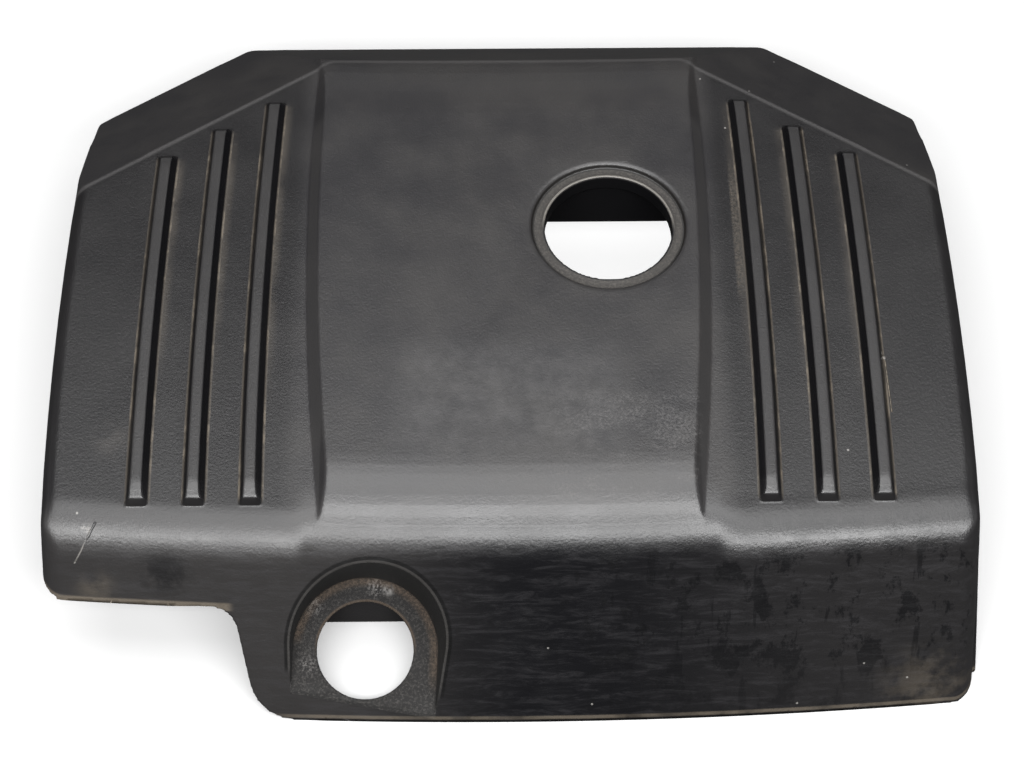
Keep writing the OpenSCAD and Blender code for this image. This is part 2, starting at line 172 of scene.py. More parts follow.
class Tree:
    """Short ways to add nodes to one material."""

    def __init__(self, name):
        self.material = bpy.data.materials.new(name)
        self.material.use_nodes = True
        self.tree = self.material.node_tree
        self.shader = self.tree.nodes["Principled BSDF"]
        place = self.tree.nodes.new("ShaderNodeTexCoord")
        self.place = place.outputs["Object"]
        split = self.tree.nodes.new("ShaderNodeSeparateXYZ")
        self.tree.links.new(self.place, split.inputs[0])
        self.x, self.y, self.z = split.outputs

    def put(self, socket, value):
        if isinstance(value, bpy.types.NodeSocket):
            self.tree.links.new(value, socket)
        else:
            socket.default_value = value

    def math(self, operation, *values):
        node = self.tree.nodes.new("ShaderNodeMath")
        node.operation = operation
        for socket, value in zip(node.inputs, values):
            self.put(socket, value)
        return node.outputs[0]

    def add(self, *values):
        total = values[0]
        for value in values[1:]:
            total = self.math("ADD", total, value)
        return total

    def times(self, *values):
        total = values[0]
        for value in values[1:]:
            total = self.math("MULTIPLY", total, value)
        return total

    def most(self, *values):
        total = values[0]
        for value in values[1:]:
            total = self.math("MAXIMUM", total, value)
        return total

    def dot(self, vector, axis):
        node = self.tree.nodes.new("ShaderNodeVectorMath")
        node.operation = "DOT_PRODUCT"
        self.put(node.inputs[0], vector)
        self.put(node.inputs[1], axis)
        return node.outputs["Value"]

    def vector(self, operation, first, second):
        node = self.tree.nodes.new("ShaderNodeVectorMath")
        node.operation = operation
        self.put(node.inputs[0], first)
        self.put(node.inputs[1], second)
        return node.outputs["Value"] if operation == "DISTANCE" else node.outputs["Vector"]

    def step(self, value, low, high, start=0.0, end=1.0):
        """start below low, end over high, smooth between them."""
        node = self.tree.nodes.new("ShaderNodeMapRange")
        node.interpolation_type = "SMOOTHSTEP"
        for socket, number in zip(node.inputs, (value, low, high, start, end)):
            self.put(socket, number)
        return node.outputs[0]

    def fall(self, value, low, high):
        """One below low, nothing over high."""
        return self.step(value, low, high, 1.0, 0.0)

    def less(self, value, taken):
        return self.math("SUBTRACT", value, taken)

    def rest(self, value):
        """What is left of one."""
        return self.less(1.0, value)

    def size(self, value):
        return self.math("ABSOLUTE", value)

    def near(self, value, centre, width, soft):
        """One where value lies within width of centre, fading over soft."""
        return self.fall(self.size(self.less(value, centre)), width, width + soft)

    def noise(self, scale, detail=3.0, rough=0.55, stretch=None, distortion=0.0):
        node = self.tree.nodes.new("ShaderNodeTexNoise")
        node.inputs["Scale"].default_value = scale
        node.inputs["Detail"].default_value = detail
        node.inputs["Roughness"].default_value = rough
        node.inputs["Distortion"].default_value = distortion
        source = self.place
        if stretch:
            source = self.vector("MULTIPLY", self.place, stretch)
        self.tree.links.new(source, node.inputs["Vector"])
        return node.outputs["Fac"]

    def mix(self, factor, first, second):
        node = self.tree.nodes.new("ShaderNodeMix")
        node.data_type = "RGBA"
        sockets = [s for s in node.inputs if s.enabled]
        self.put(sockets[0], factor)
        for socket, value in zip(sockets[1:], (first, second)):
            self.put(socket, value if isinstance(value, bpy.types.NodeSocket) else (*value, 1.0))
        return [s for s in node.outputs if s.enabled][0]

    def turned(self, lean):
        """The surface normal, leaned towards the front by lean."""
        node = self.tree.nodes.new("ShaderNodeNewGeometry")
        forward = self.tree.nodes.new("ShaderNodeCombineXYZ")
        self.put(forward.inputs["Y"], self.times(lean, -1.0))
        return self.vector("ADD", node.outputs["Normal"], forward.outputs[0])

    def bump(self, height, distance, normal=None):
        node = self.tree.nodes.new("ShaderNodeBump")
        node.inputs["Strength"].default_value = 1.0
        node.inputs["Distance"].default_value = distance
        self.tree.links.new(height, node.inputs["Height"])
        if normal:
            self.tree.links.new(normal, node.inputs["Normal"])
        return node.outputs[0]

    def stroke(self, start, end, width, soft):
        """One along the straight line from start to end."""
        start, end = Vector(start), Vector(end)
        along = end - start
        offset = self.vector("SUBTRACT", self.place, tuple(start))
        share = self.math("DIVIDE", self.dot(offset, tuple(along)), along.length_squared)
        node = self.tree.nodes.new("ShaderNodeClamp")
        self.put(node.inputs[0], share)
        scale = self.tree.nodes.new("ShaderNodeVectorMath")
        scale.operation = "SCALE"
        scale.inputs[0].default_value = tuple(along)
        self.put(scale.inputs["Scale"], node.outputs[0])
        gap = self.vector("DISTANCE", offset, scale.outputs[0])
        return self.step(gap, width, width + soft, 1.0, 0.0)

    def spot(self, place, radius, soft):
        return self.step(self.vector("DISTANCE", self.place, place), radius, radius + soft, 1.0, 0.0)


def only(obj):
    """Makes obj the one selected and active object."""
    bpy.ops.object.select_all(action="DESELECT")
    obj.select_set(True)
    bpy.context.view_layer.objects.active = obj


def apply(obj, kind, **settings):
    only(obj)
    modifier = obj.modifiers.new(kind.lower(), kind)
    for name, value in settings.items():
        setattr(modifier, name, value)
    bpy.ops.object.modifier_apply(modifier=modifier.name)


def clean(obj, tool, threshold):
    """Runs one cleaning tool over the whole mesh."""
    only(obj)
    bpy.ops.object.mode_set(mode="EDIT")
    bpy.ops.mesh.select_all(action="SELECT")
    tool(threshold=threshold)
    bpy.ops.object.mode_set(mode="OBJECT")


def skirt_point(x, z):
    """A point on the outer face of the front skirt."""
    return (x, FRONT_Y + x * x / (2 * FRONT_BOW_R) + z * math.tan(SKIRT_LEAN), z)


# Pale specks: where each lies and how wide it is.
SPECKS = (
    ((0.1498, 0.1754, 0.0576), 0.0006), ((0.1301, 0.1308, 0.0847), 0.0007), ((0.1154, 0.1042, 0.086), 0.0008),
    ((0.2097, 0.0807, 0.083), 0.0007), ((0.1041, 0.1384, 0.086), 0.0006), ((0.1615, -0.0955, 0.086), 0.0009),
    ((-0.2039, -0.1263, 0.0849), 0.0010), (skirt_point(0.0173, 0.0355), 0.0007),
    (skirt_point(0.0387, 0.0082), 0.0008), (skirt_point(0.1916, 0.0141), 0.0009),
    (skirt_point(0.1699, 0.0224), 0.0007), (skirt_point(0.1385, 0.0049), 0.0008),
    (skirt_point(-0.0346, 0.0264), 0.0006), (skirt_point(-0.0456, 0.0105), 0.0007),
)


def plastic_noises(t, m):
    """Noises that several masks share."""
    m.wide = t.noise(9.0, 4.0, 0.6)
    m.cloudy = t.noise(38.0, 5.0, 0.62)
    m.fine = t.noise(420.0, 3.0, 0.6)
    m.grit = t.noise(800.0, 4.0, 0.75)
    m.grain = t.noise(850.0, 3.0, 0.6)


def plastic_regions(t, m):
    """Skirt, panels and bend, told apart by depth and height."""
    # Distance in from the front skirt's face.
    m.bow = t.times(t.x, t.x, 1 / (2 * FRONT_BOW_R))
    depth = t.less(t.less(t.y, m.bow), FRONT_Y)
    depth = t.less(t.times(depth, math.cos(SKIRT_LEAN)), t.times(t.z, math.sin(SKIRT_LEAN)))
    m.skirt = t.fall(depth, 0.0015, 0.016)
    m.face = t.fall(depth, 0.0008, 0.0060)
    m.over_panel = t.step(t.z, PANEL_Z - 0.0018, PANEL_Z - 0.0006)
    m.over_bend = t.step(t.z, 0.060, 0.066)


def plastic_plain(t, m, finish):
    """Plain plastic: thin dust over the top, wiped skirt with streaks and painted shade, side panels in painted
    shade, and step faces with a painted reflection.
    """
    thin_dust = t.step(t.add(t.times(m.wide, 0.6), t.times(m.cloudy, 0.4)), 0.36, 0.66)
    m.base = t.mix(thin_dust, finish.plastic, finish.plastic_dusty)
    m.wiped = t.noise(190.0, 6.0, 0.78, stretch=(0.22, 1.0, 1.3), distortion=0.6)
    m.stains = t.noise(55.0, 6.0, 0.72, stretch=(1.3, 1.0, 0.8))
    drips = t.noise(42.0, 4.0, 0.6, stretch=(2.4, 0.3, 0.35))
    m.left = t.fall(t.x, -0.100, 0.010)
    right = t.step(t.x, 0.030, 0.170)
    greyer = t.add(t.times(m.left, 0.85), t.times(right, 0.40))
    skirt_colour = t.mix(greyer, finish.plastic_skirt, finish.plastic_dusty)
    skirt_colour = t.mix(t.times(t.step(m.wiped, 0.46, 0.66), 0.32), skirt_colour, (0.020, 0.0192, 0.021))
    blots = t.most(t.step(m.stains, 0.52, 0.59), t.times(t.step(drips, 0.60, 0.64), 0.8))
    blots = t.times(blots, t.step(t.x, -0.010, 0.050), t.step(t.z, 0.006, 0.040, 0.4, 0.85))
    skirt_colour = t.mix(blots, skirt_colour, (0.0022, 0.0022, 0.0026))
    m.base = t.mix(m.skirt, m.base, skirt_colour)
    # Distance behind the nearest crease, negative on the panels.
    m.bands = t.most(
        t.less(t.y, BAND_CREASE_Y),
        t.add(
            t.times(t.size(t.x), math.sin(CORNER_ANGLE)), t.times(t.y, math.cos(CORNER_ANGLE)),
            -CORNER_CREASE,
        ),
    )
    # Painted shade: the side panels are painted darker than the centre panel, for the less light they catch.
    panels = t.times(
        t.step(t.size(t.x), PANEL_HALF_W, PANEL_HALF_W + 0.012), t.rest(m.skirt), t.fall(m.bands, -0.002, 0.001)
    )
    m.base = t.mix(t.times(panels, 0.85), m.base, (0.0055, 0.0052, 0.0056))
    # Painted reflection: the centre panel's step faces are painted lighter, for the room light they mirror.
    step_face = t.times(
        t.near(t.z, 0.0900, 0.0026, 0.0012),
        t.near(t.size(t.x), 0.0985, 0.0075, 0.001), t.step(t.y, -0.15, -0.13), t.fall(t.y, 0.100, 0.112),
    )
    m.base = t.mix(t.times(step_face, 0.6), m.base, (0.030, 0.029, 0.029))


def plastic_strips(t, m):
    """The strips' faces, with painted shade on their side faces, dust and rubbed grain beside them, and a
    painted highlight along the bands' crease.
    """
    bow_y = t.less(t.y, STRIP_BOW_Y)
    strip_bow = t.math("MAXIMUM", t.less(STRIP_BOW, t.times(bow_y, bow_y, 1 / (2 * STRIP_BOW_R))), 0.0)
    side = t.less(t.size(t.x), strip_bow)
    index = t.math("ROUND", t.math("DIVIDE", t.less(side, STRIP_FIRST_X), STRIP_PITCH))
    index = t.math("MINIMUM", t.math("MAXIMUM", index, 0.0), 2.0)
    from_strip = t.less(side, t.add(STRIP_FIRST_X, t.times(index, STRIP_PITCH)))
    reach = t.size(from_strip)
    far = t.less(STRIP_FAR_Y, t.times(index, STRIP_FAR_STEP))
    along = t.times(t.step(t.y, STRIP_NEAR_Y, STRIP_NEAR_Y + 0.006), t.fall(t.y, t.less(far, 0.004), far))
    broken = t.step(t.noise(95.0, 5.0, 0.75, stretch=(1.0, 0.45, 1.0)), 0.50, 0.62)
    m.line = t.times(
        t.near(reach, STRIP_FOOT + 0.0004, 0.0002, 0.0006), along, t.add(t.times(broken, 0.6), 0.4),
        m.over_panel,
    )
    top_x = t.size(t.less(from_strip, STRIP_SHIFT))
    # Painted shade: the strips' steep side faces, painted black in the base colour.
    m.strip_face = t.times(
        t.step(top_x, STRIP_TOP, STRIP_TOP + 0.0004), t.fall(reach, STRIP_FOOT - 0.0003, STRIP_FOOT),
        t.step(t.z, PANEL_Z + 0.0002, PANEL_Z + 0.0008), along,
    )
    m.strip_top = t.times(
        t.fall(top_x, STRIP_TOP - 0.0003, STRIP_TOP), t.step(t.z, PANEL_Z + 0.0036, PANEL_Z + 0.0042), along,
    )
    inner = t.step(t.x, -0.01, 0.01)
    m.glow = t.times(
        t.fall(reach, STRIP_FOOT, STRIP_FOOT + 0.0055), t.step(reach, STRIP_FOOT - 0.0002, STRIP_FOOT + 0.0002),
        t.step(t.times(from_strip, -1.0), 0.0, 0.001),
        along, m.over_panel, t.step(t.y, -0.085, 0.02), t.rest(t.times(inner, 0.3)),
        t.step(m.cloudy, 0.26, 0.62),
    )
    m.ashy = t.times(
        t.near(t.x, STRIP_FIRST_X - 0.0055, 0.0014, 0.0014),
        t.step(t.y, -0.012, 0.006), t.fall(t.y, 0.062, 0.10), m.over_panel,
        t.step(m.grit, 0.30, 0.68),
    )

    in_strip = t.fall(reach, STRIP_FOOT - 0.0005, STRIP_FOOT)
    nose = t.times(
        in_strip, t.step(t.z, PANEL_Z, PANEL_Z + 0.0006),
        t.step(t.y, STRIP_NEAR_Y - 0.0012, STRIP_NEAR_Y - 0.0004),
    )
    # The strips round off before their ends, and their front faces turn away.
    m.nose_lean = t.times(nose, t.add(
        t.times(t.near(t.y, STRIP_NEAR_Y + 0.0070, 0.0, 0.0070), 0.22),
        t.step(t.y, STRIP_NEAR_Y + 0.0015, STRIP_NEAR_Y + 0.0035, 1.2, 0.0),
    ))

    # Crease of the bands, with a painted highlight along it.
    m.crease = t.times(t.near(m.bands, 0.0, 0.0002, 0.0022), t.step(t.z, 0.074, 0.078))


def plastic_filler(t, m):
    """Seat, collar and edges of the filler opening: the collar, the underside behind it, the near edge and the
    seat's outer wall carry painted shade, the bead's far arc a painted highlight.
    """
    radius = t.vector(
        "DISTANCE", t.vector("MULTIPLY", t.place, (1.0, 1.0, 0.0)), (FILLER[0], FILLER[1], 0.0)
    )
    m.seat = t.times(t.near(radius, 0.0360, 0.0022, 0.0005), t.near(t.z, FILLER[2], 0.0008, 0.0006))
    # Painted shade: the seat's steep outer wall, painted dark.
    m.seat_line = t.times(
        t.near(radius, 0.0388, 0.0007, 0.0005), t.near(t.z, FILLER[2] + 0.0004, 0.0014, 0.0006),
    )
    # Painted highlight: the rim of the hole, painted light on its far arc.
    m.bead = t.times(
        t.near(radius, 0.0331, 0.0004, 0.0003), t.step(t.z, FILLER[2] + 0.0004, FILLER[2] + 0.0008),
        t.fall(t.z, FILLER[2] + 0.0014, FILLER[2] + 0.0018),
    )
    m.far_arc = t.step(t.y, FILLER[1] - 0.004, FILLER[1] + 0.010)
    # Painted shade: the near side of the hole's rim, painted black.
    m.near_edge = t.times(
        t.near(radius, 0.0330, 0.0007, 0.0004), t.rest(m.far_arc), t.near(t.z, FILLER[2], 0.004, 0.001),
    )
    # Painted shade: the collar's inner wall and the underside behind it, painted black.
    m.collar = t.times(t.fall(radius, 0.0328, 0.0335), t.fall(t.z, FILLER[2] - 0.0006, FILLER[2] + 0.0002))
    m.under = t.times(
        t.fall(t.z, 0.0815, 0.0825), t.near(t.y, 0.069, 0.004, 0.001), t.near(t.x, FILLER[0], 0.036, 0.001),
    )


def plastic_pocket(t, m):
    """Pocket, in the frame of its floor, with a painted highlight on the lip, painted shade beside it and on
    the hole's edge.
    """
    local = t.vector("SUBTRACT", t.place, POCKET)
    u, v, w = (t.dot(local, axis) for axis in (POCKET_X_AXIS, POCKET_Y_AXIS, POCKET_Z_AXIS))
    ahead = t.math("MAXIMUM", v, 0.0)
    round_r = t.math("SQRT", t.add(t.times(u, u), t.times(ahead, ahead)))
    hole_r = t.math("SQRT", t.add(t.times(u, u), t.times(v, v)))
    inside = t.fall(round_r, 0.0350, 0.0354)
    m.floor = t.times(t.near(w, 0.0, 0.0009, 0.0006), inside)
    pocket_side = t.less(round_r, t.times(w, 0.12))
    m.wall = t.times(
        t.step(w, 0.0006, 0.002), t.fall(pocket_side, 0.0353, 0.0356),
        t.step(pocket_side, 0.0335, 0.0342), t.step(v, -0.04, -0.03),
    )
    behind = t.step(v, -0.030, -0.012)
    # Painted highlight on the lip, with painted shade just outside it.
    m.lip = t.times(t.near(pocket_side, 0.0357, 0.0003, 0.0004), t.step(w, 0.004, 0.007), behind)
    m.lip_shade = t.times(t.near(pocket_side, 0.0370, 0.0004, 0.0008), t.step(w, 0.004, 0.007), behind)
    toward_right = t.step(u, -0.02, 0.02)
    m.rust = t.times(
        t.near(round_r, 0.0340, 0.0006, 0.0034), t.near(w, 0.0004, 0.0012, 0.0012), inside,
        t.step(m.grit, 0.25, 0.65),
        t.step(v, t.times(toward_right, -0.022), t.add(t.times(toward_right, -0.012), 0.008)),
    )
    # Painted shade: the edge of the pocket's hole, painted black.
    m.hole_edge = t.times(
        t.near(hole_r, 0.0236, 0.0004, 0.0004), t.near(w, -0.0010, 0.003, 0.001), t.fall(v, 0.0, 0.012),
    )
    m.hole_rust = t.times(
        t.near(hole_r, 0.0239, 0.0003, 0.0009), t.near(w, 0.0, 0.001, 0.0006), t.step(v, -0.004, 0.01),
    )

    m.whitish = t.most(
        t.times(t.spot((-0.0600, -0.1405, 0.0315), 0.0008, 0.0032), t.step(m.fine, 0.30, 0.6)),
        t.times(t.spot((-0.0660, -0.1395, 0.0320), 0.001, 0.0050), t.step(m.grit, 0.45, 0.6), 0.7),
        t.times(t.spot((-0.0960, -0.1480, 0.0300), 0.001, 0.0055), t.step(m.grit, 0.42, 0.6), 0.45),
        t.times(t.spot((-0.0985, -0.1740, 0.0185), 0.001, 0.0060), t.step(m.grit, 0.45, 0.6), 0.35),
    )


def plastic_plate(t, m):
    """Halo of dust around the bare place on the centre panel, and scuffs beside it."""
    m.plate = t.times(
        t.near(t.x, 0.0, 0.040, 0.026), t.near(t.y, -0.070, 0.018, 0.024),
        t.step(t.z, CENTRE_Z - 0.003, CENTRE_Z - 0.001),
    )
    scuff_area = t.times(
        t.near(t.x, 0.058, 0.026, 0.022), t.near(t.y, -0.096, 0.020, 0.018),
        t.step(t.z, CENTRE_Z - 0.006, CENTRE_Z - 0.002),
    )
    m.scuffs = t.times(
        scuff_area, t.step(m.grit, 0.42, 0.72),
        t.step(t.noise(70.0, 4.0, 0.7, stretch=(0.5, 1.3, 1.0)), 0.44, 0.60),
    )


def plastic_rims(t, m):
    """Rims of the moulding, dusty where it was handled, with painted shade along their lowest millimetre."""
    m.rim = t.times(t.near(t.z, 0.0020, 0.0004, 0.0008), t.add(t.times(t.step(m.cloudy, 0.30, 0.55), 0.6), 0.4))
    # Painted shade: the lowest millimetre of the rims, painted black where they meet the table.
    m.foot = t.fall(t.z, 0.0006, 0.0012)
    m.notch_rim = t.times(
        t.near(t.z, 0.0530, 0.0012, 0.0012), t.fall(t.x, -0.136, -0.131), t.fall(t.y, -0.06, -0.055)
    )
    m.corner_dust = t.most(
        t.times(t.spot((-0.1970, -0.1530, 0.0590), 0.002, 0.012), t.step(m.cloudy, 0.40, 0.60)),
        t.times(t.spot(skirt_point(0.205, 0.006), 0.006, 0.030), t.step(m.cloudy, 0.44, 0.60)),
    )


def plastic_marks(t, m):
    """Scratches, stains and specks."""
    m.gouge = t.most(
        t.stroke((-0.1974, -0.1337, 0.0821), (-0.2020, -0.1413, 0.0757), 0.0001, 0.0004),
        t.stroke((-0.2020, -0.1413, 0.0757), (-0.2058, -0.1450, 0.0700), 0.0001, 0.0004),
    )
    m.splinter = t.times(t.spot((-0.1994, -0.1330, 0.0825), 0.0014, 0.0018), t.step(m.grit, 0.46, 0.60))
    m.cut = t.most(
        t.stroke((-0.1952, -0.1309, 0.0835), (-0.1985, -0.1365, 0.0801), 0.0003, 0.0004),
        t.stroke((-0.1985, -0.1365, 0.0801), (-0.2052, -0.1446, 0.0705), 0.0001, 0.0004),
    )
    m.tear = t.stroke((0.1845, -0.0445, 0.0860), (0.1847, -0.0740, 0.0860), 0.00012, 0.0004)
    m.nick = t.most(
        t.spot((0.1828, -0.0404, 0.0868), 0.0006, 0.0008), t.spot((0.1843, -0.0425, 0.0862), 0.0005, 0.0007),
    )
    m.specks = t.most(*[t.spot(place, 0.3 * size, 0.0005) for place, size in SPECKS])
    m.dark_stain = t.times(t.spot((-0.1630, -0.1490, 0.0680), 0.003, 0.014), t.step(m.stains, 0.36, 0.52))
    m.pit = t.spot((-0.2087, -0.1193, 0.0859), 0.0005, 0.0006)
    m.oily = t.times(
        t.most(
            t.spot((-0.1660, -0.1080, 0.086), 0.004, 0.022), t.spot((-0.1450, -0.1020, 0.086), 0.004, 0.018)
        ),
        t.step(m.cloudy, 0.38, 0.62),
    )
    m.cloud = t.times(t.spot((-0.1919, -0.0869, 0.086), 0.002, 0.014), t.step(m.stains, 0.40, 0.62))


def plastic_colour(t, m, finish):
    """Base colour: the plastic, then dirt, marks, painted shade and painted highlights laid over it in turn."""
    # Painted shade: places painted near black for the shade that falls in them.
    blacks = t.most(m.collar, m.under, m.strip_face, m.foot, m.near_edge, m.hole_edge)
    grime = t.mix(t.step(m.grit, 0.44, 0.66), finish.grime, (0.040, 0.036, 0.032))
    grime = t.mix(0.25, grime, (0.052, 0.047, 0.042))
    speckle = t.mix(t.step(m.grit, 0.47, 0.66), (0.0030, 0.0026, 0.0023), (0.026, 0.024, 0.022))
    m.dusty = t.most(
        t.times(m.line, 0.6), t.times(m.glow, 0.22), t.times(m.ashy, 0.30), t.times(m.rim, 0.5),
        t.times(m.notch_rim, 0.6), t.times(m.corner_dust, 0.22),
    )
    scraped = t.most(t.times(m.gouge, 0.55), t.times(m.splinter, 0.6), t.times(m.nick, 0.5))
    layers = (
        (t.times(m.plate, t.step(t.noise(85.0, 6.0, 0.72), 0.34, 0.70)), 0.40, (0.052, 0.050, 0.050)),
        # Painted highlight along the bands' crease.
        (m.crease, 0.55, (0.052, 0.050, 0.050)),
        (m.scuffs, 0.42, (0.105, 0.10, 0.098)),
        (m.wall, 1.0, (0.0020, 0.0016, 0.0013)),
        (blacks, 0.9, (0.0025, 0.0025, 0.003)),
        (m.strip_top, 0.5, (0.027, 0.026, 0.026)),
        (m.lip_shade, 0.8, (0.003, 0.003, 0.003)),
        (m.lip, 0.6, (0.036, 0.034, 0.032)),
        (m.seat, 0.92, grime),
        (m.floor, 0.92, speckle),
        (m.seat_line, 0.9, (0.004, 0.0035, 0.003)),
        (t.times(m.bead, m.far_arc), 0.8, (0.11, 0.102, 0.09)),
        (t.most(t.times(m.rust, 0.5), t.times(m.hole_rust, 0.4)), 1.0, (0.075, 0.050, 0.031)),
        (t.times(m.whitish, m.floor), 0.55, (0.24, 0.23, 0.22)),
        (m.dusty, 1.0, finish.dust),
        (m.oily, 0.45, (0.006, 0.006, 0.0065)),
        (m.cloud, 0.30, (0.048, 0.044, 0.040)),
        (t.most(t.times(m.dark_stain, 0.7), m.pit, m.cut), 1.0, (0.003, 0.003, 0.0035)),
        (t.times(m.tear, t.step(m.grit, 0.35, 0.60)), 0.7, (0.17, 0.145, 0.11)),
        (scraped, 1.0, (0.20, 0.19, 0.175)),
        (m.specks, 0.6, (0.26, 0.25, 0.235)),
    )
    colour = m.base
    for part, strength, tint in layers:
        colour = t.mix(t.times(part, strength), colour, tint)
    t.tree.links.new(colour, t.shader.inputs["Base Color"])


def plastic_roughness(t, m):
    """Rougher where dust lies, smoother where the plastic is wiped."""
    rough = t.step(t.add(t.times(m.cloudy, 0.6), t.times(m.wide, 0.4)), 0.3, 0.7, 0.335, 0.405)
    rough = t.add(
        rough, t.times(t.most(m.dusty, t.times(m.plate, 0.5), m.scuffs), 0.25), t.times(m.seat, 0.45),
        t.times(m.floor, 0.55),
        t.times(t.most(m.collar, m.under, m.strip_face), -0.22), t.times(m.wall, 0.35),
        t.times(m.face, t.add(t.step(m.wiped, 0.35, 0.7, -0.10, 0.02), t.step(m.stains, 0.5, 0.7, 0.0, 0.04))),
        t.times(m.left, m.skirt, 0.05),
    )
    t.put(t.shader.inputs["Roughness"], rough)
    t.shader.inputs["Specular IOR Level"].default_value = 0.5


def plastic_relief(t, m, finish):
    """Grain and dents, and the normal leaned where the mould rolls over."""
    height = t.add(
        t.times(m.grain, 0.55), t.times(m.fine, 0.45),
        t.times(t.most(m.seat, m.floor), m.grit, 1.5), t.times(t.most(m.tear, m.cut), -2.0),
        t.times(m.nick, m.grit, 4.0),
    )
    # The centre panel rolls over a little sooner than its radius, the right one later.
    from_front = t.less(t.y, m.bow)
    lean = t.add(
        t.times(
            t.near(t.x, 0.0, 0.095, 0.008),
            t.add(
                t.times(t.near(from_front, -0.141, 0.0, 0.032), 0.17),
                t.times(t.near(from_front, -0.150, 0.0, 0.011), 0.06),
            ),
        ),
        t.times(t.step(t.x, 0.100, 0.110), t.near(from_front, -0.137, 0.0, 0.018), -0.11),
    )
    normal = t.turned(t.add(t.times(lean, m.over_bend), m.nose_lean))
    t.tree.links.new(t.bump(height, finish.grain, normal), t.shader.inputs["Normal"])


def moulded_plastic(finish):
    """Black moulded plastic, built up mask by mask; m holds the masks that are shared."""
    t, m = Tree("moulded_plastic"), SimpleNamespace()
    plastic_noises(t, m)
    plastic_regions(t, m)
    plastic_plain(t, m, finish)
    plastic_strips(t, m)
    plastic_filler(t, m)
    plastic_pocket(t, m)
    plastic_plate(t, m)
    plastic_rims(t, m)
    plastic_marks(t, m)
    plastic_colour(t, m, finish)
    plastic_roughness(t, m)
    plastic_relief(t, m, finish)
    return t.material


def moulded_rubber(finish):
    t = Tree("moulded_rubber")
    bloom = t.noise(160.0, 5.0, 0.7)
    skin = t.noise(2600.0, 2.0, 0.5)
    colour = t.mix(t.step(bloom, 0.42, 0.72), finish.rubber, (0.034, 0.032, 0.030))
    t.tree.links.new(colour, t.shader.inputs["Base Color"])
    t.put(t.shader.inputs["Roughness"], t.step(bloom, 0.3, 0.7, 0.58, 0.78))
    t.tree.links.new(t.bump(skin, 0.00003), t.shader.inputs["Normal"])
    return t.material


def keep_only(obj, material):
    obj.data.materials.clear()
    obj.data.materials.append(material)


